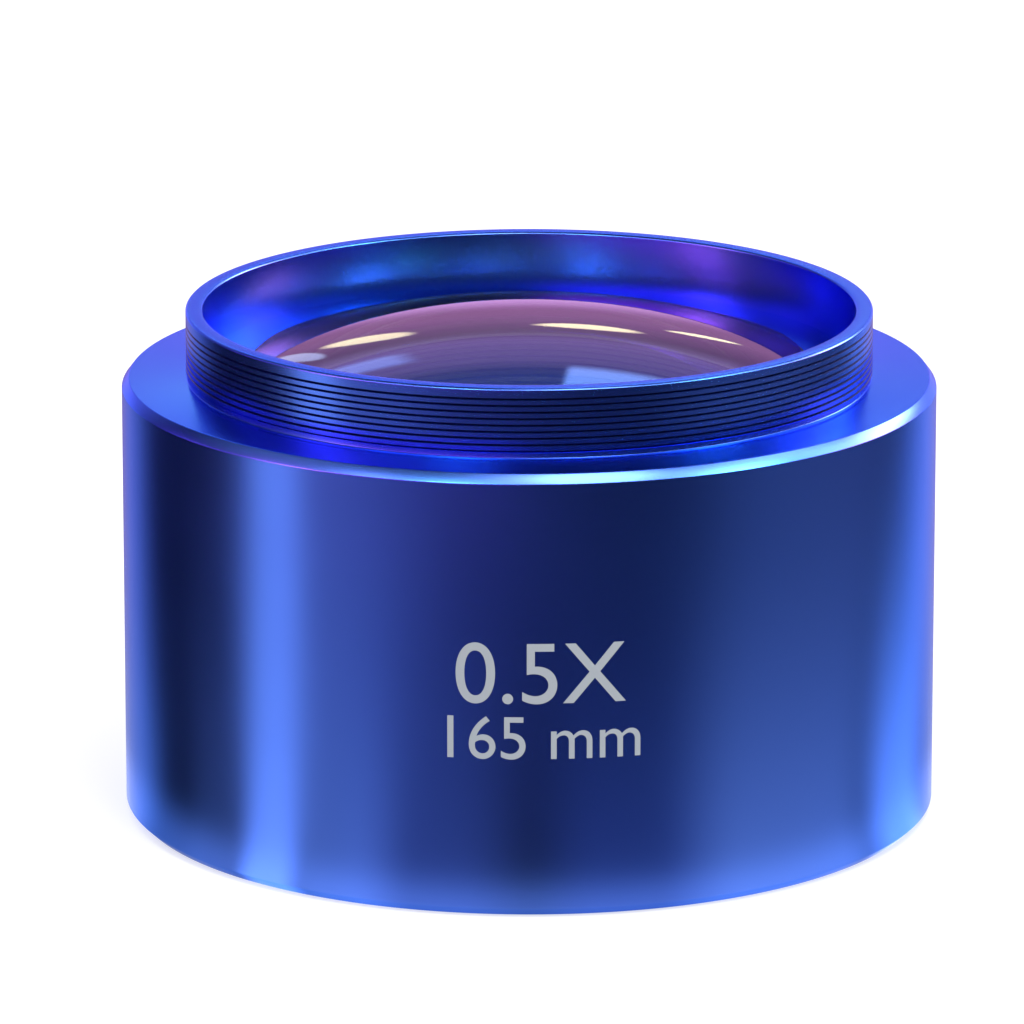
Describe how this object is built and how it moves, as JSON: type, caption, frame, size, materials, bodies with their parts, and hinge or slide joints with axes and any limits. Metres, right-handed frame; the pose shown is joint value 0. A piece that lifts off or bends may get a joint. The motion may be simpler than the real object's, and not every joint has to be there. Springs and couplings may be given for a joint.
{
  "type": "microscope barlow lens",
  "caption": "Screw-on auxiliary lens for a stereo microscope: blue anodised housing with a threaded nose, coated cemented lens pair and slotted retaining ring.",
  "frame": {"origin": "centre of the foot face, on the optical axis", "axes": "+Z along the optical axis towards the microscope, out of the threaded nose; -Y towards the marked front"},
  "size_m": [0.057, 0.057, 0.0358],
  "materials": {
    "blue_anodised": "bright blue anodised, fine turned satin",
    "coated_glass": "polished, mauve antireflection coating, blackened edge",
    "clear_glass": "polished, green antireflection coating below, blackened edge",
    "black_anodised": "matte black anodised",
    "marking": "laser-engraved silver grey"
  },
  "bodies": {
    "root": {"housing": "blue_anodised", "upper_element": "coated_glass", "lower_element": "clear_glass", "retaining_ring": "black_anodised"}
  },
  "joints": []
}
